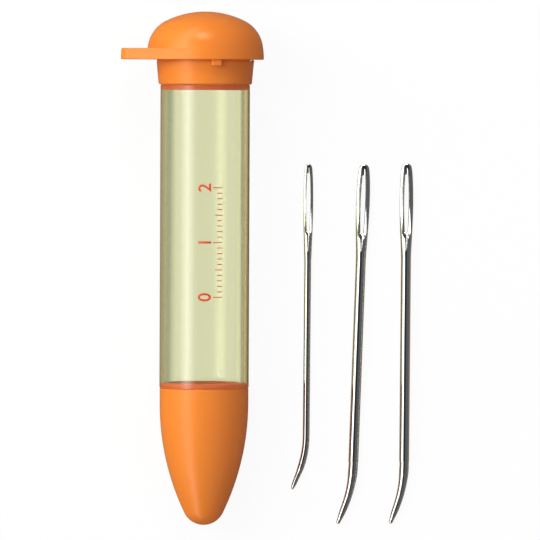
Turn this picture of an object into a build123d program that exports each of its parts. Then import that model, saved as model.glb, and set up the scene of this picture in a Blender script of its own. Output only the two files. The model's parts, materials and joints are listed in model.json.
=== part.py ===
from build123d import *
from math import asin, atan2, cos, degrees, radians, sin, sqrt, tan
import os

# A set of bent-tip yarn needles with its case: a clear tube with a hollow pointed nose at one end, a
# collar with a hinged dome lid at the other, and three blunt steel needles laid beside it.
# Millimetres. The set lies on Z = 0 with the case's lid towards +Y and its thumb visor towards -X.
# The origin is at the middle of the set's box, on the surface that it lies on.

# Clear tube
tube_radius = 8.2
tube_wall = 0.72
tube_length = 55.7
tube_edge = 0.25

# Spigots by which the nose and the collar plug into the tube's two ends
spigot_length = 1.0
spigot_wall = 0.9
spigot_clearance = 0.03

# Nose: a short straight band a step inside the tube, then one arc that runs tangent into a ball tip
nose_length = 25.2
nose_step = 0.05
nose_band = 2.8
nose_ball_radius = 3.94
nose_wall = 1.3
nose_edge = 0.2

# Collar: stands proud of the tube, widens towards the lid and is bored out for the lid's plug
collar_height = 4.25
collar_step = 0.36
collar_flare = 0.37
collar_wall = 1.58
collar_floor = 1.2
collar_edge = 0.4
collar_lip = 0.15

# Lid: side, shoulder and crown are three tangent arcs; the crown's radius follows from them
lid_overhang = 1.82
lid_edge = 0.15
lid_side_radius = 15.9
lid_side_angle = 9.6
lid_shoulder_radius = 6.1
lid_crown_angle = 26.6
lid_wall = 1.3
seat_inset = 0.03
seat_height = 0.29
seat_gap = 0.05

# Plug under the lid, tapered so that it swings out of the collar's bore
plug_depth = 2.0
plug_wall = 0.95
plug_clearance = 0.08
plug_taper = 0.22
plug_edge = 0.2

# Visor that a thumb lifts the lid by
visor_length = 4.65
visor_thickness = 2.05
visor_taper = 17.0
visor_corner = 2.0
visor_draft = 3.0
visor_edge = 0.18

# Lug that hangs from the brim in front of the collar
lug_width = 1.75
lug_drop = 1.1
lug_inset = 0.5
lug_clearance = 0.12
lug_bearing = 12.7
lug_edge = 0.15

# Hinge bead on the collar's top edge, opposite the visor
hinge_radius = 0.3
hinge_length = 4.0
hinge_inset = 0.25
hinge_clearance = 0.05

# Needles: shank radius, straight length down to the bend, bend radius and angle, length past the bend,
# length of taper; head length and half width; the eye's distance from the top, length, middle width,
# end width and the ease of its rims; the grooves' length above and below the eye, and their radius
short_needle = dict(
    shank=0.62, straight=50.3, bend_radius=18.5, bend_angle=22.0, tip=3.2, taper=5.2,
    head=17.9, head_half=0.9, eye_top=1.65, eye=10.9, eye_width=0.8, eye_end=0.5, eye_ease=0.16,
    groove_above=1.2, groove_below=3.9, groove_radius=0.25,
)
long_needle = dict(
    shank=0.91, straight=55.7, bend_radius=23.0, bend_angle=20.0, tip=3.2, taper=12.0,
    head=17.9, head_half=1.25, eye_top=2.0, eye=10.8, eye_width=0.84, eye_end=0.56, eye_ease=0.25,
    groove_above=1.4, groove_below=3.6, groove_radius=0.34,
)

# Where each needle's head lies from the case's axis and from its nose tip, and how far it leans
short_across, short_along, short_lean = 19.1, 66.65, 0.3
middle_across, middle_along, middle_lean = 29.4, 66.6, 1.9
right_across, right_along, right_lean = 37.25, 66.8, 0.3

# Head sections down from its top: share of the head's length, of its half width and of the shank's radius
head_shares = [
    (0.006, 0.36, 0.17), (0.02, 0.6, 0.26), (0.055, 0.77, 0.33), (0.12, 0.87, 0.37), (0.2, 0.94, 0.38),
    (0.33, 0.99, 0.4), (0.45, 1.0, 0.45), (0.52, 0.985, 0.51), (0.58, 0.965, 0.58), (0.65, 0.93, 0.675),
    (0.72, 0.89, 0.77), (0.79, 0.84, 0.855), (0.86, 0.79, 0.925), (0.93, 0.75, 0.976),
]
# Taper sections back from the tip: share of the taper's length and of the shank's radius
taper_shares = [
    (0.86, 0.965), (0.72, 0.89), (0.56, 0.8), (0.42, 0.745), (0.28, 0.69), (0.17, 0.61), (0.1, 0.5),
]
tip_share = 0.4
# The eye's rims ease open: height above the straight wall and spread, as shares of the ease
eye_wall_share = 0.12
rim_shares = [(0.0, 0.0), (0.5, 0.134), (1.0, 0.634), (3.5, 7.134)]
# Height of the grooves' axes above the needle's middle, as shares of the shank's radius
groove_above_share = 0.52
groove_below_share = 0.84


def polar(radius, angle):
    """A point at this radius and angle in degrees from the local X axis."""
    return Vector(radius * cos(radians(angle)), radius * sin(radians(angle)))


def swell_radius(rise, wide, narrow):
    """Radius of an arc that starts square at the wide radius and runs tangent into the narrow ball."""
    return (rise**2 + wide**2 - narrow**2) / (2 * (wide - narrow))


# Stations along the case's axis, from the nose's tip
tube_start = nose_length
collar_start = tube_start + tube_length
collar_end = collar_start + collar_height
seat_start = collar_end + seat_gap
brim = seat_start + seat_height

# Radii that follow from the tube's
tube_bore_radius = tube_radius - tube_wall
spigot_radius = tube_bore_radius - spigot_clearance
spigot_bore_radius = spigot_radius - spigot_wall
nose_radius = tube_radius - nose_step
collar_bottom_radius = tube_radius + collar_step
collar_top_radius = collar_bottom_radius + collar_flare
collar_bore_radius = collar_top_radius - collar_wall
lid_radius = collar_top_radius + lid_overhang
visor_reach = lid_radius + visor_length

# Nose outline: the arc leaves the band square to its centre and ends tangent to the ball
nose_arc_rise = nose_length - nose_band - nose_ball_radius
nose_arc_radius = swell_radius(nose_arc_rise, nose_radius, nose_ball_radius)
nose_centre = Vector(nose_radius - nose_arc_radius, nose_length - nose_band)
ball_centre = Vector(0, nose_ball_radius)
ball_bearing = degrees(atan2(ball_centre.Y - nose_centre.Y, ball_centre.X - nose_centre.X))

# Lid outline
side_end = Vector(lid_radius - lid_side_radius, brim) + polar(lid_side_radius, lid_side_angle)
shoulder_turn = 90 - lid_side_angle - lid_crown_angle
shoulder_centre = side_end - polar(lid_shoulder_radius, lid_side_angle)
crown_start = shoulder_centre + polar(lid_shoulder_radius, 90 - lid_crown_angle)
crown_radius = crown_start.X / sin(radians(lid_crown_angle))
crown_centre = Vector(0, crown_start.Y - crown_radius * cos(radians(lid_crown_angle)))
plug_bore_radius = collar_bore_radius - plug_clearance - plug_taper - plug_wall

# The case lies on its nose's arc and on the lid's rim, which tilts its axis up towards the lid
rim_centre = Vector(lid_radius - lid_edge, brim + lid_edge)
rest_line = rim_centre - nose_centre
tilt = atan2(rest_line.X, rest_line.Y) - asin((nose_arc_radius - lid_edge) / rest_line.length)
tip_height = nose_arc_radius + nose_centre.X * cos(tilt) - nose_centre.Y * sin(tilt)
crown_reach = crown_centre.Y * cos(tilt) + crown_radius
ball_reach = nose_ball_radius - ball_centre.Y * cos(tilt)
tip_y = ball_reach - (crown_reach + ball_reach) / 2

# The set's box runs from the visor's tip to the right needle's head
widest = max(head_shares, key=lambda section: section[1])[0] * long_needle["head"]
right_reach = right_across - widest * sin(radians(right_lean)) + long_needle["head_half"]
case_x = visor_reach - (visor_reach + right_reach) / 2

# The case's pieces are drawn upright on the nose's tip, then laid down on this plane
case = Plane(origin=(case_x, tip_y, tip_height), x_dir=(1, 0, 0), z_dir=(0, cos(tilt), sin(tilt)))

# Nose: hollow from its spigot down to an even wall at the tip
inner_arc_radius = nose_arc_radius - nose_wall
inner_ball_radius = nose_ball_radius - nose_wall
bore_end = nose_centre.Y - sqrt(inner_arc_radius**2 - (spigot_bore_radius - nose_centre.X) ** 2)
bore_bearing = degrees(atan2(bore_end - nose_centre.Y, spigot_bore_radius - nose_centre.X))
inner_turn = ball_bearing - bore_bearing

with BuildPart() as nose:
    with BuildSketch(Plane.XZ):
        with BuildLine():
            ball = CenterArc(ball_centre, nose_ball_radius, -90, ball_bearing + 90)
            flank = CenterArc(nose_centre, nose_arc_radius, ball_bearing, -ball_bearing)
            band = Line(flank @ 1, (nose_radius, tube_start))
            shoulder = Line(band @ 1, (spigot_radius, tube_start))
            spigot = Line(shoulder @ 1, (spigot_radius, tube_start + spigot_length))
            mouth = Line(spigot @ 1, (spigot_bore_radius, tube_start + spigot_length))
            bore = Line(mouth @ 1, (spigot_bore_radius, bore_end))
            inner_flank = CenterArc(nose_centre, inner_arc_radius, bore_bearing, inner_turn)
            inner_ball = CenterArc(ball_centre, inner_ball_radius, ball_bearing, -90 - ball_bearing)
            Line(inner_ball @ 1, ball @ 0)
        make_face()
    revolve(axis=Axis.Z)
    shoulder_face = nose.faces().filter_by(GeomType.PLANE).sort_by(Axis.Z)[0]
    fillet(shoulder_face.outer_wire().edges(), nose_edge)
nose.part.label = "nose"

# Tube: a plain length of clear pipe with softened ends
with BuildPart() as tube:
    with BuildSketch(Plane.XY.offset(tube_start)):
        Circle(tube_radius)
        Circle(tube_bore_radius, mode=Mode.SUBTRACT)
    extrude(amount=tube_length)
    fillet(tube.edges().filter_by(GeomType.CIRCLE).group_by(SortBy.RADIUS)[-1], tube_edge)
tube.part.label = "tube"

# Collar: tapered ring with a stepped bore, its spigot in the tube and the hinge bead on its top edge
hinge_across = collar_top_radius - hinge_inset
hinge_line = Plane(origin=(hinge_across, 0, collar_end), x_dir=(1, 0, 0), z_dir=(0, 1, 0))

with BuildPart() as collar:
    with BuildSketch(Plane.YZ):
        with BuildLine():
            Polyline(
                (spigot_bore_radius, collar_start - spigot_length),
                (spigot_radius, collar_start - spigot_length),
                (spigot_radius, collar_start),
                (collar_bottom_radius, collar_start),
                (collar_top_radius, collar_end),
                (collar_bore_radius, collar_end),
                (collar_bore_radius, collar_start + collar_floor),
                (spigot_bore_radius, collar_start + collar_floor),
                close=True,
            )
        make_face()
    revolve(axis=Axis.Z)
    shoulder_face = collar.faces().filter_by(GeomType.PLANE).sort_by(Axis.Z)[1]
    fillet(shoulder_face.outer_wire().edges(), collar_edge)
    top_face = collar.faces().filter_by(GeomType.PLANE).sort_by(Axis.Z)[-1]
    chamfer(top_face.inner_wires()[0].edges(), collar_lip)
    with BuildSketch(hinge_line):
        Circle(hinge_radius)
    extrude(amount=hinge_length / 2, both=True)
collar.part.label = "collar"

# Lid: dome with a visor, a seat ring that meets the collar, and a hollow plug
plug_root_radius = collar_bore_radius - plug_clearance
plug_end = seat_start - plug_depth
hollow_top = crown_centre.Y + sqrt((crown_radius - lid_wall) ** 2 - plug_bore_radius**2)
hollow_bearing = degrees(atan2(hollow_top - crown_centre.Y, plug_bore_radius))
relief_inner = hinge_across - hinge_radius - hinge_clearance
lug_plane = Plane.XY.offset(brim).rotated((0, 0, lug_bearing))
lug_inner = collar_top_radius + lug_clearance
lug_depth = lid_radius - lug_inset - lug_inner
seat_radius = collar_top_radius - seat_inset


def visor_outline(inset, level):
    """The visor's plan, its sides tangent to the rim, drawn in by inset."""
    rim, reach = lid_radius - inset, visor_reach - inset
    root = polar(rim, 90 + visor_taper)
    half = (rim - reach * sin(radians(visor_taper))) / cos(radians(visor_taper))
    with BuildSketch(Plane.XY.offset(level)) as plan:
        with BuildLine():
            Polyline((root.X, root.Y), (-reach, half), (-reach, -half), (root.X, -root.Y), close=True)
        make_face()
        fillet(plan.vertices().group_by(Axis.X)[0], visor_corner)
    return plan.sketch


visor_foot = visor_outline(0, brim)
visor_top = visor_outline(visor_thickness * tan(radians(visor_draft)), brim + visor_thickness)

with BuildPart() as lid:
    loft([visor_foot, visor_top], ruled=True)
    fillet(lid.faces().sort_by(Axis.Z)[-1].edges().sort_by(Axis.X)[:-1], visor_edge)
    with BuildSketch(Plane.XZ):
        with BuildLine():
            side = CenterArc((lid_radius - lid_side_radius, brim), lid_side_radius, 0, lid_side_angle)
            shoulder = CenterArc(shoulder_centre, lid_shoulder_radius, lid_side_angle, shoulder_turn)
            crown = CenterArc(crown_centre, crown_radius, 90 - lid_crown_angle, lid_crown_angle)
            Line(crown @ 1, (0, brim))
            Line((0, brim), side @ 0)
        make_face()
    revolve(axis=Axis.Z)
    rim_edge = lid.faces().sort_by(Axis.Z)[0].edges()
    fillet(rim_edge, lid_edge)
    with BuildSketch(Plane.XZ):
        with BuildLine():
            Polyline(
                (0, brim),
                (seat_radius, brim),
                (seat_radius, seat_start),
                (plug_root_radius, seat_start),
                (plug_root_radius - plug_taper, plug_end + plug_edge),
                (plug_root_radius - plug_taper - plug_edge, plug_end),
                (0, plug_end),
                close=True,
            )
        make_face()
    revolve(axis=Axis.Z)
    with BuildSketch(Plane.XZ):
        with BuildLine():
            floor = Line((0, plug_end), (plug_bore_radius, plug_end))
            wall = Line(floor @ 1, (plug_bore_radius, hollow_top))
            vault = CenterArc(crown_centre, crown_radius - lid_wall, hollow_bearing, 90 - hollow_bearing)
            Line(vault @ 1, floor @ 0)
        make_face()
    revolve(axis=Axis.Z, mode=Mode.SUBTRACT)
    with BuildSketch(Plane.XY.offset(seat_start)):
        with Locations(((relief_inner + lid_radius) / 2, 0)):
            Rectangle(lid_radius - relief_inner, 2 * lid_radius)
    extrude(amount=seat_height, mode=Mode.SUBTRACT)
    with BuildSketch(lug_plane):
        with Locations((0, -lug_inner - lug_depth / 2)):
            RectangleRounded(lug_width, lug_depth, lug_edge)
    extrude(amount=-lug_drop)
lid.part.label = "lid"


def sections(plane_at, rows, size, width, depth):
    """Elliptical slices, one for each row of shares, on the planes that plane_at gives."""
    slices = []
    for length_share, width_share, depth_share in rows:
        with BuildSketch(plane_at(size * length_share)) as slice_sketch:
            Ellipse(width * width_share, depth * depth_share)
        slices.append(slice_sketch.sketch)
    return slices


def needle(name, size):
    """One blunt needle, its head's top on the origin: an eye, a shank and a tapered tip bent towards -X."""
    shank = size["shank"]
    head = size["head"]
    groove = size["groove_radius"]
    down = Plane(origin=(0, 0, 0), x_dir=(1, 0, 0), z_dir=(0, -1, 0))
    wall = Plane(origin=(0, 0, 0), x_dir=(0, 1, 0), z_dir=(1, 0, 0))

    # The shank and its taper follow this route down from the head, round the bend to the end's ball
    end_ball = shank * tip_share
    with BuildLine() as centre_line:
        run = Line((0, -head), (0, -size["straight"]))
        bend = JernArc(run @ 1, (0, -1), size["bend_radius"], -size["bend_angle"])
        PolarLine(bend @ 1, size["tip"] - end_ball, direction=bend % 1)
    route = centre_line.wires()[0]

    def route_place(from_tip):
        return 1 - (from_tip - end_ball) / route.length

    def route_plane(from_tip):
        place = route_place(from_tip)
        return Plane(origin=route @ place, x_dir=(0, 0, 1), z_dir=route % place)

    head_slices = sections(down.offset, head_shares, head, size["head_half"], shank)
    taper_rows = [(back, radius, radius) for back, radius in taper_shares]
    taper_slices = sections(route_plane, taper_rows, size["taper"], shank, shank)
    with BuildSketch(down.offset(head)) as head_end:
        Circle(shank)
    with BuildSketch(route_plane(size["taper"])) as taper_top:
        Circle(shank)
    with BuildSketch(route_plane(end_ball)) as taper_end:
        Circle(end_ball)

    # The eye is a slot with bowed sides and eased rims; a shallow groove leads yarn into each end of it
    eye_middle = -size["eye_top"] - size["eye"] / 2
    grooves = [
        (-size["eye_top"], size["groove_above"], shank * groove_above_share),
        (-size["eye_top"] - size["eye"], size["groove_below"], shank * groove_below_share),
    ]
    eye_half = size["eye_width"] / 2
    end_half = size["eye_end"] / 2
    side_half = size["eye"] / 2 - end_half
    side_radius = swell_radius(side_half, eye_half, end_half)
    side_turn = degrees(asin(side_half / (side_radius - end_half)))
    wall_half = shank * eye_wall_share

    def eye_outline(height, spread):
        """The eye's plan at a height, its four tangent arcs moved outwards by spread."""
        with BuildSketch(Plane((0, eye_middle, height))) as plan:
            with BuildLine():
                for facing in (0, 180):
                    side_centre = polar(eye_half - side_radius, facing)
                    end_centre = polar(side_half, facing + 90)
                    CenterArc(side_centre, side_radius + spread, facing - side_turn, 2 * side_turn)
                    CenterArc(end_centre, end_half + spread, facing + side_turn, 180 - 2 * side_turn)
            make_face()
        return plan.sketch

    with BuildPart() as piece:
        sweep(head_end.sketch, path=route.trim(0, route_place(size["taper"])))
        loft([Vertex(0, 0, 0), *head_slices, head_end.sketch])
        loft([taper_top.sketch, *taper_slices, taper_end.sketch])
        with Locations(route_plane(end_ball)):
            Sphere(end_ball, arc_size1=0, align=(Align.CENTER, Align.CENTER, Align.MIN))
        extrude(eye_outline(0, 0), amount=shank, both=True, mode=Mode.SUBTRACT)
        for side in (1, -1):
            rims = [
                eye_outline(side * (wall_half + size["eye_ease"] * up), size["eye_ease"] * out)
                for up, out in rim_shares
            ]
            loft(rims, ruled=True, mode=Mode.SUBTRACT)
        for along_head, reach, rise in grooves:
            for height in (rise, -rise):
                with BuildSketch(wall):
                    with BuildLine():
                        EllipticalCenterArc((along_head, height), reach, groove, arc_size=180)
                        Line((along_head - reach, height), (along_head + reach, height))
                    make_face()
                revolve(axis=Axis((0, along_head, height), (0, 1, 0)), mode=Mode.SUBTRACT)
    piece.part.label = name
    return piece


def needle_place(size, across, along, lean):
    """Where a needle lies, from the case's axis and its nose's end."""
    return Location((case_x + across, tip_y - ball_reach + along, size["shank"]), (0, 0, -lean))


places = [(piece, case.location) for piece in (lid, collar, tube, nose)]
for name, size, across, along, lean in (
    ("needle_short", short_needle, short_across, short_along, short_lean),
    ("needle_middle", long_needle, middle_across, middle_along, middle_lean),
    ("needle_right", long_needle, right_across, right_along, right_lean),
):
    places.append((needle(name, size), needle_place(size, across, along, lean)))

os.makedirs("parts", exist_ok=True)
for piece, place in places:
    laid = piece.part.moved(place)
    laid.label = piece.part.label
    export_step(laid, f"parts/{laid.label}.step")
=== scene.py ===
"""Studio picture of three bent-tip yarn needles beside their tube case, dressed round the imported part."""

from __future__ import annotations

import json
import logging
import math
from dataclasses import dataclass
from enum import Enum

import bpy
from mathutils import Matrix, Vector


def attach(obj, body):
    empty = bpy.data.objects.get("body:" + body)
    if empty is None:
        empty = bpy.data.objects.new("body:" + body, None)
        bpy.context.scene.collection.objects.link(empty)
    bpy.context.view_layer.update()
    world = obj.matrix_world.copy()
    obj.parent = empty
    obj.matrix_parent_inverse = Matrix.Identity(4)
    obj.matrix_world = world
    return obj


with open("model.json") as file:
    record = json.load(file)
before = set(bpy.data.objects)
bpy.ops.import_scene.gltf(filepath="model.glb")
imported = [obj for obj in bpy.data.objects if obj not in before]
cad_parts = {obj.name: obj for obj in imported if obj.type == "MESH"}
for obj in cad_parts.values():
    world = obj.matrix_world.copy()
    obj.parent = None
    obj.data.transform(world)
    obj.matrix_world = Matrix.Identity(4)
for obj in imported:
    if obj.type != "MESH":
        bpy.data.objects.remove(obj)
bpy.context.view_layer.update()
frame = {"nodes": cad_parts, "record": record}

Triple = tuple[float, float, float]
Stop = tuple[float, Triple]
Socket = bpy.types.NodeSocket

WHITE: Triple = (1.0, 1.0, 1.0)
PLASTIC_IOR = 1.5
HALF_TURN = 180.0

log = logging.getLogger("needle_set")


class Body(Enum):
    """The moving bodies of the set that new pieces ride on."""

    CASE = "case"
    LID = "lid"


class Slot(Enum):
    """The record's material slots that new pieces take their finish from."""

    ORANGE = "orange_plastic"


@dataclass(frozen=True)
class Grain:
    """A noise pattern over an object's own coordinates.

    Args:
        scale: Waves per metre, roughly.
        detail: Octaves of finer noise.
        stretch: Scale along each axis.
    """

    scale: float
    detail: float
    stretch: Triple = (1.0, 1.0, 1.0)


def screen(red: int, green: int, blue: int) -> Triple:
    """Turns a colour as a screen shows it, by the sRGB curve, into the linear one that a shader takes.

    Args:
        red: Red, 0 to 255.
        green: Green, 0 to 255.
        blue: Blue, 0 to 255.

    Returns:
        The linear red, green and blue, 0 to 1.
    """
    shares = (level / 255 for level in (red, green, blue))
    return tuple(c / 12.92 if c <= 0.04045 else ((c + 0.055) / 1.055) ** 2.4 for c in shares)


def ramp_stops(stops: tuple[Stop, ...], reach: float) -> list[Stop]:
    """Turns stops at places from -reach to reach into stops from 0 to 1.

    Args:
        stops: Place and colour of each stop, in rising order.
        reach: The place that becomes 1.

    Returns:
        The stops as a colour ramp takes them.
    """
    return [(0.5 + 0.5 * place / reach, colour) for place, colour in stops]


class Board:
    """A node tree that is laid out by short calls."""

    def __init__(self, tree: bpy.types.NodeTree) -> None:
        """Takes over the node tree of a material or of the world, and empties it."""
        self.tree = tree
        tree.nodes.clear()

    @classmethod
    def of_material(cls, name: str) -> tuple[bpy.types.Material, Board]:
        """Makes a new material and its board.

        Args:
            name: The material's name.

        Returns:
            The material and the board of its nodes.
        """
        material = bpy.data.materials.new(name)
        material.use_nodes = True
        return material, cls(material.node_tree)

    def add(self, kind: str, sockets: dict | None = None, **settings) -> bpy.types.Node:
        """Adds one node.

        Args:
            kind: The node's type without its ShaderNode prefix.
            sockets: Values or outputs for its inputs, by name or number.
            **settings: Properties of the node itself.

        Returns:
            The new node.
        """
        node = self.tree.nodes.new("ShaderNode" + kind)
        for name, value in settings.items():
            setattr(node, name, value)
        for key, value in (sockets or {}).items():
            if isinstance(value, Socket):
                self.tree.links.new(value, node.inputs[key])
            else:
                if isinstance(value, tuple) and len(value) == 3 and node.inputs[key].type == "RGBA":
                    value = (*value, 1.0)
                node.inputs[key].default_value = value
        return node

    def show(self, shader: bpy.types.Node) -> None:
        """Makes a shader's node the material's surface."""
        self.add("OutputMaterial", {"Surface": shader.outputs[0]})

    def place(self) -> Socket:
        """Adds the object's own coordinates, in metres."""
        return self.add("TexCoord").outputs["Object"]

    def noise(self, grain: Grain) -> Socket:
        """Adds noise over the object's coordinates.

        Args:
            grain: The noise's pattern.

        Returns:
            The noise's value.
        """
        spread = self.add("Mapping", {"Vector": self.place(), "Scale": grain.stretch})
        sockets = {"Vector": spread.outputs[0], "Scale": grain.scale, "Detail": grain.detail}
        return self.add("TexNoise", sockets).outputs["Fac"]

    def dullness(self, noise: Socket, limits: tuple[float, float]) -> Socket:
        """Adds a roughness that varies with a noise, from the least to the most."""
        return self.add("MapRange", {0: noise, 3: limits[0], 4: limits[1]}).outputs[0]

    def bump(self, noise: Socket, strength: float, height: float) -> Socket:
        """Adds a fine relief, its height in metres, and gives the surface's new normal."""
        return self.add("Bump", {"Height": noise, "Strength": strength, "Distance": height}).outputs[0]

    def ramp(self, value: Socket, stops: list[Stop]) -> Socket:
        """Turns a value into a colour.

        Args:
            value: The value, 0 to 1.
            stops: Place and colour of each stop, in rising order.

        Returns:
            The colour.
        """
        node = self.add("ValToRGB", {"Fac": value})
        marks = node.color_ramp.elements
        for mark, (at, colour) in zip(marks, (stops[0], stops[-1])):
            mark.position, mark.color = at, (*colour, 1.0)
        for at, colour in stops[1:-1]:
            marks.new(at).color = (*colour, 1.0)
        return node.outputs["Color"]

    def maths(self, operation: str, first: Socket, second: Socket | float) -> Socket:
        """Adds one sum of two outputs, or of an output and a number."""
        return self.add("Math", {0: first, 1: second}, operation=operation).outputs[0]

    def share(self, value: Socket, reach: float) -> Socket:
        """Turns a value from -reach to reach into one from 0 to 1."""
        sockets = {0: value, 1: 0.5 / reach, 2: 0.5}
        return self.add("Math", sockets, operation="MULTIPLY_ADD").outputs[0]

    def fade(self, value: Socket, start: float, end: float) -> Socket:
        """Adds a soft step, which leaves 0 where the value is at start and reaches 1 at end."""
        sockets = {0: value, 1: start, 2: end}
        return self.add("MapRange", sockets, interpolation_type="SMOOTHSTEP").outputs[0]

    def times(self, colour: Socket, factor: Socket | float) -> Socket:
        """Multiplies a colour by one number or output."""
        return self.add("VectorMath", {0: colour, 3: factor}, operation="SCALE").outputs[0]

    def plus(self, first: Socket, second: Socket) -> Socket:
        """Adds two colours up."""
        return self.add("VectorMath", {0: first, 1: second}, operation="ADD").outputs[0]

    def blend(self, share: Socket, low: Socket | Triple, high: Socket | Triple) -> Socket:
        """Mixes two colours, by how much of the second one shows."""
        return self.add("Mix", {0: share, 6: low, 7: high}, data_type="RGBA").outputs[2]


@dataclass(frozen=True)
class MouldedPlastic:
    """Satin injection-moulded plastic with a faint swirl in its colour and a fine skin.

    Args:
        name: The material's name.
        colour: Its colour.
        swirl_colour: The deeper colour of the flow marks.
        swirl: The flow marks' pattern.
        wear: The pattern in which its gloss varies.
        roughness: The least and the most roughness of its gloss.
        specular: Level of its mirror reflection.
        skin: The skin's grain.
        skin_strength: How much of the grain shows.
        skin_height: The grain's height, in metres.
        glow: How much light it scatters inside.
        glow_reach: How far red, green and blue light scatters in it, in metres.
    """

    name: str = "moulded_orange"
    colour: Triple = screen(248, 146, 54)
    swirl_colour: Triple = screen(244, 135, 47)
    swirl: Grain = Grain(90.0, 3.0, (1.0, 0.35, 1.0))
    wear: Grain = Grain(700.0, 4.0)
    roughness: tuple[float, float] = (0.19, 0.31)
    specular: float = 0.36
    skin: Grain = Grain(5200.0, 2.0)
    skin_strength: float = 0.5
    skin_height: float = 0.000004
    glow: float = 0.12
    glow_reach: Triple = (0.0016, 0.0006, 0.0002)

    def material(self) -> bpy.types.Material:
        """Builds the material.

        Returns:
            The material.
        """
        material, board = Board.of_material(self.name)
        shader = board.add("BsdfPrincipled", {
            "Base Color": board.blend(board.noise(self.swirl), self.colour, self.swirl_colour),
            "Roughness": board.dullness(board.noise(self.wear), self.roughness),
            "IOR": PLASTIC_IOR,
            "Specular IOR Level": self.specular,
            "Subsurface Weight": self.glow,
            "Subsurface Radius": self.glow_reach,
            "Subsurface Scale": 1.0,
            "Normal": board.bump(board.noise(self.skin), self.skin_strength, self.skin_height),
        })
        board.show(shader)
        return material


@dataclass(frozen=True)
class ClearTube:
    """Extruded clear plastic with a yellow-green tint and faint lines along it.

    Args:
        name: The material's name.
        tint: Colour of the light that passes one wall.
        rub: The pattern in which its gloss varies.
        roughness: The least and the most roughness of its skin.
        lines: The pattern of the lines that the die draws.
        line_strength: How much of the lines shows.
        line_height: The lines' height, in metres.
    """

    name: str = "tinted_clear"
    tint: Triple = (0.835, 0.842, 0.662)
    rub: Grain = Grain(420.0, 5.0, (1.0, 0.4, 1.0))
    roughness: tuple[float, float] = (0.015, 0.065)
    lines: Grain = Grain(900.0, 2.0, (1.0, 0.02, 1.0))
    line_strength: float = 0.15
    line_height: float = 0.00001

    def material(self) -> bpy.types.Material:
        """Builds the material.

        Returns:
            The material.
        """
        material, board = Board.of_material(self.name)
        shader = board.add("BsdfPrincipled", {
            "Base Color": self.tint,
            "Roughness": board.dullness(board.noise(self.rub), self.roughness),
            "IOR": PLASTIC_IOR,
            "Transmission Weight": 1.0,
            "Normal": board.bump(board.noise(self.lines), self.line_strength, self.line_height),
        })
        board.show(shader)
        return material


@dataclass(frozen=True)
class NickelPlate:
    """Polished nickel over steel, with fine polishing lines along the needle.

    Args:
        name: The material's name.
        colour: The metal's reflecting colour.
        lines: The polishing lines' pattern.
        roughness: The least and the most roughness of its polish.
        line_strength: How much of the lines shows.
        line_height: The lines' height, in metres.
    """

    name: str = "polished_nickel"
    colour: Triple = (0.80, 0.79, 0.76)
    lines: Grain = Grain(6000.0, 3.0, (1.0, 0.03, 1.0))
    roughness: tuple[float, float] = (0.045, 0.115)
    line_strength: float = 0.15
    line_height: float = 0.000003

    def material(self) -> bpy.types.Material:
        """Builds the material.

        Returns:
            The material.
        """
        material, board = Board.of_material(self.name)
        lines = board.noise(self.lines)
        shader = board.add("BsdfPrincipled", {
            "Base Color": self.colour,
            "Metallic": 1.0,
            "Roughness": board.dullness(lines, self.roughness),
            "Normal": board.bump(lines, self.line_strength, self.line_height),
        })
        board.show(shader)
        return material


@dataclass(frozen=True)
class PadInk:
    """Pad-printed ink, a little uneven where it took to the tube.

    Args:
        name: The material's name.
        colour: The ink where it lies thick.
        thin_colour: The ink where it lies thin.
        mottle: The pattern of thick and thin.
        thin_limits: Values of the pattern at which the ink starts to thin and is thin.
        roughness: How dull it is.
    """

    name: str = "pad_ink"
    colour: Triple = screen(226, 70, 38)
    thin_colour: Triple = screen(236, 104, 62)
    mottle: Grain = Grain(2600.0, 3.0)
    thin_limits: tuple[float, float] = (0.35, 0.7)
    roughness: float = 0.42

    def material(self) -> bpy.types.Material:
        """Builds the material.

        Returns:
            The material.
        """
        material, board = Board.of_material(self.name)
        thin = board.fade(board.noise(self.mottle), *self.thin_limits)
        shader = board.add("BsdfPrincipled", {
            "Base Color": board.blend(thin, self.colour, self.thin_colour),
            "Roughness": self.roughness,
        })
        board.show(shader)
        return material


@dataclass(frozen=True)
class WetJoint:
    """The orange that shows through the tube where a spigot wets its bore.

    Args:
        name: The material's name.
        colour: Its colour.
        streak_colour: The colour where the contact thins.
        streak: The streaks' pattern.
        roughness: How dull it is.
    """

    name: str = "wet_joint"
    colour: Triple = screen(252, 128, 66)
    streak_colour: Triple = screen(246, 112, 56)
    streak: Grain = Grain(500.0, 3.0, (1.0, 0.3, 1.0))
    roughness: float = 0.5

    def material(self) -> bpy.types.Material:
        """Builds the material.

        Returns:
            The material.
        """
        material, board = Board.of_material(self.name)
        shader = board.add("BsdfPrincipled", {
            "Base Color": board.blend(board.noise(self.streak), self.colour, self.streak_colour),
            "Roughness": self.roughness,
        })
        board.show(shader)
        return material


@dataclass(frozen=True)
class TubeAxis:
    """The line through the clear tube.

    Args:
        middle: Its middle.
        along: Its direction, towards the lid.
    """

    middle: Vector
    along: Vector

    @classmethod
    def of_frame(cls) -> TubeAxis:
        """Reads the line from the record's grip mount, which points at the nose."""
        grip = next(mount for mount in frame["record"]["mounts"] if mount["name"] == "tube_grip")
        return cls(Vector(grip["pos_m"]), -Vector(grip["axis"]).normalized())

    def matrix(self) -> Matrix:
        """Gives the place on the tube of a piece that is drawn along Y, with its top up.

        Returns:
            The piece's place.
        """
        across = Vector((1.0, 0.0, 0.0))
        up = across.cross(self.along)
        turn = Matrix((across, self.along, up)).transposed().to_4x4()
        return Matrix.Translation(self.middle) @ turn


def cover(name: str, material: bpy.types.Material) -> None:
    """Gives a part of the frame a finish.

    Args:
        name: The part's name.
        material: The finish.
    """
    piece = frame["nodes"][name]
    piece.data.materials.clear()
    piece.data.materials.append(material)
    log.info("dressed %s in %s", name, material.name)


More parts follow.
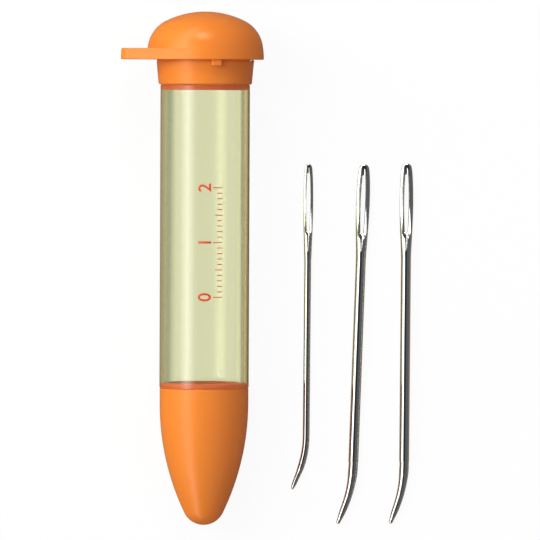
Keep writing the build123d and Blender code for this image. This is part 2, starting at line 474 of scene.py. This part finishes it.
def start_piece() -> None:
    """Deselects everything, so that the next tools act on the new piece alone."""
    bpy.ops.object.select_all(action="DESELECT")


def apply_place() -> bpy.types.Object:
    """Takes the active piece's place, turn and size into its mesh.

    Returns:
        The piece.
    """
    bpy.ops.object.transform_apply(location=True, rotation=True, scale=True)
    return bpy.context.object


def start_mesh_edit() -> None:
    """Opens the active piece's mesh with all of it selected."""
    bpy.ops.object.mode_set(mode="EDIT")
    bpy.ops.mesh.select_all(action="SELECT")


def end_mesh_edit() -> None:
    """Closes the active piece's mesh."""
    bpy.ops.object.mode_set(mode="OBJECT")


def apply_modifier(piece: bpy.types.Object, kind: str, **settings) -> None:
    """Adds one modifier and applies it.

    Args:
        piece: The piece, which is active and selected.
        kind: The modifier's type.
        **settings: Its properties.
    """
    modifier = piece.modifiers.new(kind.lower(), kind)
    for name, value in settings.items():
        setattr(modifier, name, value)
    bpy.ops.object.modifier_apply(modifier=modifier.name)


def settle(piece: bpy.types.Object, name: str, matrix: Matrix, material: bpy.types.Material) -> None:
    """Names a piece, takes its mesh to its place and gives it its finish.

    Args:
        piece: The piece, drawn about the world's origin.
        name: Its name.
        matrix: Its place.
        material: Its finish.
    """
    piece.name = piece.data.name = name
    piece.data.transform(matrix)
    piece.data.materials.clear()
    piece.data.materials.append(material)
    log.info("built %s", name)


@dataclass(frozen=True)
class JointRing:
    """A thin sleeve that shows through the tube where a spigot touches the bore.

    Args:
        name: The piece's name.
        along: Its middle, along the tube from the tube's middle.
        radius: Its outer radius.
        wall: Its thickness.
        length: Its length.
        sides: Number of its sides.
        crease: Angle from which its edges stay sharp.
    """

    name: str
    along: float
    radius: float = 0.00753
    wall: float = 0.00007
    length: float = 0.00096
    sides: int = 160
    crease: float = math.radians(35)

    def build(self, axis: TubeAxis, material: bpy.types.Material) -> None:
        """Builds the sleeve.

        Args:
            axis: The tube's line.
            material: Its finish.
        """
        start_piece()
        bpy.ops.mesh.primitive_cylinder_add(
            vertices=self.sides, radius=self.radius, depth=self.length, end_fill_type="NOTHING",
            location=(0.0, self.along, 0.0), rotation=(math.pi / 2, 0.0, 0.0),
        )
        sleeve = apply_place()
        apply_modifier(sleeve, "SOLIDIFY", thickness=self.wall, offset=-1.0)
        bpy.ops.object.shade_smooth_by_angle(angle=self.crease)
        settle(sleeve, self.name, axis.matrix(), material)
        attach(sleeve, Body.CASE.value)


@dataclass(frozen=True)
class LidLip:
    """The thin flat lip under the lid's seat, which closes the seam to the collar.

    Args:
        name: The piece's name.
        along: Its upper face, along the tube from the tube's middle.
        radius: Its outer radius.
        width: Its width.
        thickness: Its thickness.
        end: Where it stops short of the hinge bead, across the tube.
        sides: Number of its sides.
    """

    name: str = "lid_lip"
    along: float = 0.033674
    radius: float = 0.00885
    width: float = 0.00155
    thickness: float = 0.000044
    end: float = 0.0083
    sides: int = 160

    def build(self, axis: TubeAxis, material: bpy.types.Material) -> None:
        """Builds the lip.

        Args:
            axis: The tube's line.
            material: Its finish.
        """
        start_piece()
        bpy.ops.mesh.primitive_circle_add(
            vertices=self.sides, radius=self.radius, fill_type="NGON",
            location=(0.0, self.along, 0.0), rotation=(math.pi / 2, 0.0, 0.0),
        )
        ring = apply_place()
        start_mesh_edit()
        bpy.ops.mesh.inset(thickness=self.width)
        bpy.ops.mesh.delete(type="FACE")
        bpy.ops.mesh.select_all(action="SELECT")
        bpy.ops.mesh.bisect(plane_co=(self.end, 0.0, 0.0), plane_no=(1.0, 0.0, 0.0), clear_outer=True)
        end_mesh_edit()
        apply_modifier(ring, "SOLIDIFY", thickness=self.thickness, offset=1.0)
        settle(ring, self.name, axis.matrix(), material)
        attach(ring, Body.LID.value)


@dataclass(frozen=True)
class TubeScale:
    """A printed centimetre scale with plain numbers along the top of the tube.

    Args:
        name: The piece's name.
        numbers: The numbers, in order.
        start: Place of the first line, along the tube from the tube's middle.
        division: Distance between lines.
        per_number: Divisions from one number to the next.
        per_middle: Divisions from a number's line to a middle line.
        tick_foot: Where the lines start, across the tube.
        tick_lengths: Length of the plain, the middle and the numbered lines.
        tick_width: Width of the lines.
        tick_cuts: Cuts along a line, so that it follows the tube.
        figure_foot: Where the numbers stand, across the tube.
        figure_size: Size of the numbers.
        figure_bold: How much bolder the numbers are, as a share of their size.
        figure_cuts: Cuts in a number's mesh, so that it follows the tube.
        merge_distance: Distance within which a number's points become one.
        hover: Height above the tube's line at which the marks are drawn.
        ink_rise: Height of the ink's top above the tube.
        ink_thickness: Thickness of the ink.
    """

    name: str = "tube_scale"
    numbers: tuple[str, ...] = ("0", "1", "2")
    start: float = -0.0094
    division: float = 0.001
    per_number: int = 10
    per_middle: int = 5
    tick_foot: float = 0.0033
    tick_lengths: Triple = (0.0009, 0.0013, 0.0017)
    tick_width: float = 0.00016
    tick_cuts: int = 5
    figure_foot: float = 0.0012
    figure_size: float = 0.0033
    figure_bold: float = 0.012
    figure_cuts: int = 3
    merge_distance: float = 0.000002
    hover: float = 0.0085
    ink_rise: float = 0.00003
    ink_thickness: float = 0.00002

    def tick(self, step: int) -> bpy.types.Object:
        """Draws one line of the scale, across the tube.

        Args:
            step: Its number from the scale's start.

        Returns:
            The line.
        """
        rank = (step % self.per_middle == 0) + (step % self.per_number == 0)
        length = self.tick_lengths[rank]
        along = self.start + step * self.division
        start_piece()
        bpy.ops.mesh.primitive_plane_add(size=1.0, location=(self.tick_foot - length / 2, along, self.hover))
        bpy.context.object.scale = (length, self.tick_width, 1.0)
        line = apply_place()
        start_mesh_edit()
        bpy.ops.mesh.subdivide(number_cuts=self.tick_cuts)
        end_mesh_edit()
        return line

    def figure(self, place: int) -> bpy.types.Object:
        """Draws one number, its base towards the lines.

        Args:
            place: Its place in the row of numbers.

        Returns:
            The number's outline, as a mesh.
        """
        along = self.start + self.per_number * place * self.division
        start_piece()
        bpy.ops.object.text_add(
            location=(self.figure_foot, along, self.hover), rotation=(0.0, 0.0, math.pi / 2),
        )
        text = bpy.context.object.data
        text.body = self.numbers[place]
        text.size = self.figure_size
        text.align_x = "CENTER"
        text.offset = self.figure_size * self.figure_bold
        bpy.ops.object.convert(target="MESH")
        figure = apply_place()
        start_mesh_edit()
        bpy.ops.mesh.remove_doubles(threshold=self.merge_distance)
        bpy.ops.mesh.subdivide(number_cuts=self.figure_cuts)
        end_mesh_edit()
        return figure

    def build(self, axis: TubeAxis, material: bpy.types.Material) -> None:
        """Draws the scale, lays it on the tube and gives it its thickness.

        Args:
            axis: The tube's line.
            material: The ink.
        """
        divisions = self.per_number * (len(self.numbers) - 1)
        marks = [self.tick(step) for step in range(divisions + 1)]
        marks += [self.figure(place) for place in range(len(self.numbers))]
        start_piece()
        for mark in marks:
            mark.select_set(True)
        bpy.context.view_layer.objects.active = marks[0]
        bpy.ops.object.join()
        scale = bpy.context.object
        settle(scale, self.name, axis.matrix(), material)
        apply_modifier(
            scale, "SHRINKWRAP", target=frame["nodes"]["tube"], wrap_method="PROJECT", use_project_z=True,
            use_negative_direction=True, use_positive_direction=False, offset=self.ink_rise,
        )
        apply_modifier(scale, "SOLIDIFY", thickness=self.ink_thickness, offset=-1.0)
        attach(scale, Body.CASE.value)


@dataclass(frozen=True)
class TubeCase:
    """The case: lid, collar, clear tube and nose, with the rings, the lip and the scale on them.

    Args:
        moulded: Names of the moulded parts.
        clear: Name of the clear part.
        rings: The rings at the tube's two ends.
        lip: The lip under the lid's seat.
        scale: The scale on the tube.
    """

    moulded: tuple[str, ...] = ("lid", "collar", "nose")
    clear: str = "tube"
    rings: tuple[JointRing, ...] = (JointRing("lid_joint", 0.028875), JointRing("nose_joint", -0.025825))
    lip: LidLip = LidLip()
    scale: TubeScale = TubeScale()

    def build(self, axis: TubeAxis) -> None:
        """Gives the case's parts their finishes and builds its new pieces.

        Args:
            axis: The tube's line.
        """
        orange = MouldedPlastic().material()
        for name in self.moulded:
            cover(name, orange)
        cover(self.clear, ClearTube().material())
        wet = WetJoint().material()
        for ring in self.rings:
            ring.build(axis, wet)
        self.lip.build(axis, orange)
        self.scale.build(axis, PadInk().material())


@dataclass(frozen=True)
class NeedleSet:
    """The three needles.

    Args:
        names: Their names.
    """

    names: tuple[str, ...] = ("needle_short", "needle_middle", "needle_right")

    def build(self) -> None:
        """Gives the needles their plating."""
        nickel = NickelPlate().material()
        for name in self.names:
            cover(name, nickel)


@dataclass(frozen=True)
class Camera:
    """The camera over the set.

    Args:
        distance: Its distance from the point it looks at.
        half_field: Half the width that it sees there.
        aim: The point it looks at.
        lean: How far it leans back from looking straight down.
        roll: How far it is turned about its own line.
        sensor: Width of its sensor, in millimetres.
        clip: The nearest and the furthest that it sees.
    """

    distance: float = 1.23
    half_field: float = 0.04995
    aim: Triple = (0.0005, -0.000124, 0.0)
    lean: float = math.radians(0.716)
    roll: float = math.radians(0.245)
    sensor: float = 36.0
    clip: tuple[float, float] = (0.05, 10.0)

    def build(self) -> None:
        """Sets up the camera."""
        data = bpy.data.cameras.new("camera")
        data.sensor_width = self.sensor
        data.lens = self.sensor / 2 * self.distance / self.half_field
        data.clip_start, data.clip_end = self.clip
        rig = bpy.data.objects.new("camera", data)
        bpy.context.scene.collection.objects.link(rig)
        turn = Matrix.Rotation(self.lean, 4, "X") @ Matrix.Rotation(self.roll, 4, "Z")
        back = turn @ Vector((0.0, 0.0, self.distance))
        rig.matrix_world = Matrix.Translation(Vector(self.aim) + back) @ turn
        bpy.context.scene.camera = rig


@dataclass(frozen=True)
class Table:
    """The pale table under the set.

    The camera sees it white with the set's soft shadow, gloss and bounced light see it tan, and the
    clear tube sees it white beneath, with the tube's shadow painted dark close to its sides and tan beyond.

    Args:
        size: Its side.
        colour: Its colour for bounced light.
        mirrored_colour: Its colour for gloss.
        seen_glow: How bright it shows to the camera by itself.
        seen_shade: The colour that the lamps add to that, which carries the shadow.
        painted_shadow_reach: How far from the tube's line its colours through the tube go, to each side.
        painted_shadow_and_tan: Those colours, by the distance from the tube's line: white beneath, the
            tube's painted shadow dark close to its sides, the table's tan further out, then white.
    """

    size: float = 3.0
    colour: Triple = screen(176, 150, 122)
    mirrored_colour: Triple = (0.29, 0.235, 0.17)
    seen_glow: float = 0.93
    seen_shade: Triple = (0.07, 0.07, 0.07)
    painted_shadow_reach: float = 0.03
    # Painted shadow: the dark stops close to each side of the tube stand in for the tube's shadow on the
    # table, seen through the tube; the tan is the table's own colour.
    painted_shadow_and_tan: tuple[Stop, ...] = (
        (-0.0280, WHITE),
        (-0.0190, (0.60, 0.47, 0.28)),
        (-0.0105, (0.46, 0.40, 0.24)),
        (-0.0090, (0.34, 0.38, 0.30)),
        (-0.0080, (0.42, 0.44, 0.38)),
        (-0.0070, (0.80, 0.81, 0.78)),
        (-0.0062, (0.98, 0.98, 0.96)),
        (0.0071, WHITE),
        (0.0080, (0.98, 0.96, 0.84)),
        (0.0088, (0.30, 0.28, 0.16)),
        (0.0110, (0.26, 0.22, 0.10)),
        (0.0150, (0.60, 0.46, 0.24)),
        (0.0190, (1.0, 0.80, 0.46)),
        (0.0280, WHITE),
    )

    def material(self, axis: TubeAxis) -> bpy.types.Material:
        """Builds the table's finish.

        Args:
            axis: The tube's line.

        Returns:
            The material.
        """
        material, board = Board.of_material("pale_table")
        path = board.add("LightPath").outputs
        surface = board.blend(path["Is Glossy Ray"], self.colour, self.mirrored_colour)
        plain = board.add("BsdfDiffuse", {"Color": surface})
        glow = board.add("Emission", {"Color": WHITE, "Strength": self.seen_glow})
        shade = board.add("BsdfDiffuse", {"Color": self.seen_shade})
        seen = board.add("AddShader", {0: glow.outputs[0], 1: shade.outputs[0]})
        across = board.add("SeparateXYZ", {0: board.place()}).outputs[0]
        aside = board.maths("SUBTRACT", across, axis.middle.x)
        # Colours seen through the tube across its line, with the tube's shadow painted in dark close to each
        # side.
        painted_shadow_tone = board.ramp(board.share(aside, self.painted_shadow_reach), ramp_stops(self.painted_shadow_and_tan, self.painted_shadow_reach))
        through = board.add("Emission", {"Color": painted_shadow_tone, "Strength": 1.0})
        first = board.add("MixShader", {0: path["Is Camera Ray"], 1: plain.outputs[0], 2: seen.outputs[0]})
        board.show(board.add("MixShader", {
            0: path["Is Transmission Ray"], 1: first.outputs[0], 2: through.outputs[0],
        }))
        return material

    def build(self, axis: TubeAxis) -> None:
        """Lays the table.

        Args:
            axis: The tube's line.
        """
        start_piece()
        bpy.ops.mesh.primitive_plane_add(size=self.size, location=(0.0, 0.0, 0.0))
        top = bpy.context.object
        top.name = "table"
        top.data.materials.append(self.material(axis))


@dataclass(frozen=True)
class Lamp:
    """A soft lamp that shines at the set and isn't itself mirrored in it.

    Args:
        name: Its name.
        place: Where it hangs.
        size: Its width and length.
        power: Its power, in watts.
    """

    name: str
    place: Vector
    size: tuple[float, float]
    power: float

    def build(self) -> None:
        """Hangs the lamp."""
        data = bpy.data.lights.new(self.name, "AREA")
        data.shape = "RECTANGLE"
        data.size, data.size_y = self.size
        data.energy = self.power
        lamp = bpy.data.objects.new(self.name, data)
        bpy.context.scene.collection.objects.link(lamp)
        turn = self.place.to_track_quat("Z", "Y").to_matrix().to_4x4()
        lamp.matrix_world = Matrix.Translation(self.place) @ turn
        lamp.visible_camera = lamp.visible_glossy = lamp.visible_transmission = False


@dataclass(frozen=True)
class Studio:
    """The camera, the table, the lamps and the surroundings.

    Args:
        lamp_distance: Distance of the lamps.
        key_bearing: Bearing of the key lamp from straight up, to the left.
        key_along: How far the key lamp is moved towards the lid.
        key_size: Width and length of the key lamp.
        key_power: Power of the key lamp, in watts.
        far_light: Direction of the small lamp beyond the lid.
        far_size: Width and length of the small lamp.
        far_power: Power of the small lamp, in watts.
        spot_limits: Angles from the small lamp at which its mirror image starts and is full, in degrees.
        spot_level: Brightness of that image.
        mirror_level: The most light in the mirrored surroundings, whose ramp holds shares of it.
        mirrored: Light that gloss sees, by its bearing from straight up, in degrees.
        plain: Light that falls on matt surfaces, by its bearing.
        inner_fill: How much of the plain light is added inside the tube.
        sky_limits: Upward share of a ray out of the tube at which white starts to fade and is gone.
    """

    lamp_distance: float = 0.6
    key_bearing: float = math.radians(-42)
    key_along: float = 0.16
    key_size: tuple[float, float] = (0.2, 0.7)
    key_power: float = 2.18
    far_light: Triple = (-0.06, 0.78, 0.63)
    far_size: tuple[float, float] = (0.15, 0.15)
    far_power: float = 0.8
    spot_limits: tuple[float, float] = (15.0, 4.0)
    spot_level: float = 7.0
    mirror_level: float = 4.0
    mirrored: tuple[Stop, ...] = (
        (-180, (0.25, 0.19, 0.13)),
        (-100, (0.40, 0.33, 0.22)),
        (-88, (0.58, 0.48, 0.32)),
        (-76, (0.82, 0.72, 0.56)),
        (-66, (1.15, 1.12, 1.06)),
        (-57, (2.3, 2.28, 2.2)),
        (-46, (4.0, 4.0, 4.0)),
        (-37, (2.6, 2.6, 2.6)),
        (-26, (0.45, 0.47, 0.49)),
        (-16, (0.03, 0.033, 0.04)),
        (14, (0.022, 0.026, 0.034)),
        (30, (0.12, 0.135, 0.14)),
        (110, (0.10, 0.105, 0.105)),
        (180, (0.25, 0.19, 0.13)),
    )
    plain: tuple[Stop, ...] = (
        (-180, (0.5, 0.48, 0.42)),
        (-70, (0.85, 0.82, 0.66)),
        (0, (0.50, 0.48, 0.48)),
        (60, (0.31, 0.26, 0.55)),
        (110, (0.29, 0.22, 0.62)),
        (180, (0.3, 0.28, 0.34)),
    )
    inner_fill: float = 1.9
    sky_limits: tuple[float, float] = (0.3, 0.5)

    def lamps(self) -> tuple[Lamp, Lamp]:
        """Gives the key lamp on the left and the small one beyond the lid.

        Returns:
            The two lamps.
        """
        bearing = Vector((math.sin(self.key_bearing), 0.0, math.cos(self.key_bearing)))
        key_place = bearing * self.lamp_distance + Vector((0.0, self.key_along, 0.0))
        far_place = Vector(self.far_light) * self.lamp_distance
        return (
            Lamp("key", key_place, self.key_size, self.key_power),
            Lamp("far", far_place, self.far_size, self.far_power),
        )

    def world(self) -> None:
        """Makes the surroundings: a soft strip on the left, dark above, slate on the right."""
        world = bpy.data.worlds.new("studio")
        bpy.context.scene.world = world
        world.use_nodes = True
        board = Board(world.node_tree)
        path = board.add("LightPath").outputs
        heading = board.add("TexCoord").outputs["Generated"]
        ray = board.add("SeparateXYZ", {0: heading}).outputs
        bearing = board.share(board.maths("ARCTAN2", ray[0], ray[2]), math.pi)
        dimmed = tuple(
            (angle, tuple(level / self.mirror_level for level in colour)) for angle, colour in self.mirrored
        )
        strip = board.times(board.ramp(bearing, ramp_stops(dimmed, HALF_TURN)), self.mirror_level)
        dot = board.add("VectorMath", {0: heading, 1: self.far_light}, operation="DOT_PRODUCT")
        edge, core = (math.cos(math.radians(angle)) for angle in self.spot_limits)
        spot = board.fade(dot.outputs["Value"], edge, core)
        mirror = board.plus(strip, board.times(spot, self.spot_level))
        plain = board.ramp(bearing, ramp_stops(self.plain, HALF_TURN))
        above = board.plus(mirror, board.times(plain, self.inner_fill))
        inside = board.blend(board.fade(ray[2], *self.sky_limits), WHITE, above)
        lit = board.blend(path["Is Glossy Ray"], plain, mirror)
        lit = board.blend(path["Is Transmission Ray"], lit, inside)
        lit = board.blend(path["Is Camera Ray"], lit, WHITE)
        back = board.add("Background", {"Color": lit, "Strength": 1.0})
        board.add("OutputWorld", {"Surface": back.outputs[0]})

    def build(self, axis: TubeAxis) -> None:
        """Builds the whole studio.

        Args:
            axis: The tube's line.
        """
        Camera().build()
        Table().build(axis)
        for lamp in self.lamps():
            lamp.build()
        self.world()
        bpy.context.scene.view_settings.view_transform = "Standard"


def main() -> None:
    """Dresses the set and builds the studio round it."""
    logging.basicConfig(level=logging.INFO, format="%(message)s")
    axis = TubeAxis.of_frame()
    TubeCase().build(axis)
    NeedleSet().build()
    Studio().build(axis)


if __name__ == "__main__":
    main()
